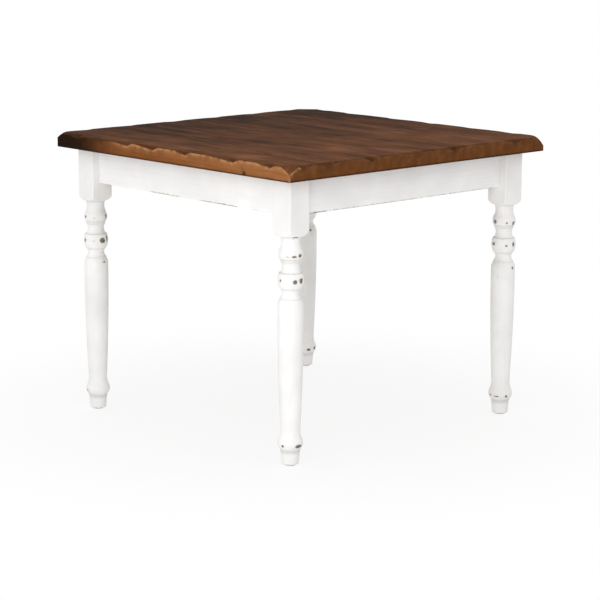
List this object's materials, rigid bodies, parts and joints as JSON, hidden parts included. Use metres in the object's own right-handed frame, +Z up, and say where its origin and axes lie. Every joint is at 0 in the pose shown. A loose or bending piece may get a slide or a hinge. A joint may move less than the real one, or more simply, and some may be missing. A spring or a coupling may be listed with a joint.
{
  "type": "dining table",
  "caption": "Square farmhouse dining table: thick hewn-edged dark pine top on plain white aprons and turned, distressed legs bolted to corner blocks.",
  "frame": {"origin": "on the floor, under the middle of the top", "axes": "+Z up; +X along the boards of the top, to the right seen from the front; the front faces -Y"},
  "size_m": [0.95, 0.95, 0.785],
  "materials": {
    "stained_pine": "dark stain, satin wax",
    "painted_pine": "white paint, distressed",
    "raw_pine": "planed, unfinished",
    "beech_dowel": "fluted, unfinished",
    "zinc_plated_steel": "zinc plated",
    "glide_nylon": "moulded"
  },
  "bodies": {
    "root": {"apron_back": "painted_pine", "apron_dowels": "beech_dowel", "apron_front": "painted_pine", "apron_left": "painted_pine", "apron_right": "painted_pine", "batten_left": "raw_pine", "batten_right": "raw_pine", "batten_screws": "zinc_plated_steel", "corner_block_back_left": "raw_pine", "corner_block_back_right": "raw_pine", "corner_block_front_left": "raw_pine", "corner_block_front_right": "raw_pine", "corner_block_screws": "zinc_plated_steel", "foot_glide_back_left": "glide_nylon", "foot_glide_back_right": "glide_nylon", "foot_glide_front_left": "glide_nylon", "foot_glide_front_right": "glide_nylon", "hanger_bolts": "zinc_plated_steel", "hanger_nuts": "zinc_plated_steel", "hanger_washers": "zinc_plated_steel", "leg_back_left": "painted_pine", "leg_back_right": "painted_pine", "leg_front_left": "painted_pine", "leg_front_right": "painted_pine", "top_board_1": "stained_pine", "top_board_2": "stained_pine", "top_board_3": "stained_pine", "top_board_4": "stained_pine", "top_board_5": "stained_pine", "top_board_6": "stained_pine", "top_clip_screws": "zinc_plated_steel", "top_clips": "zinc_plated_steel"}
  },
  "joints": []
}
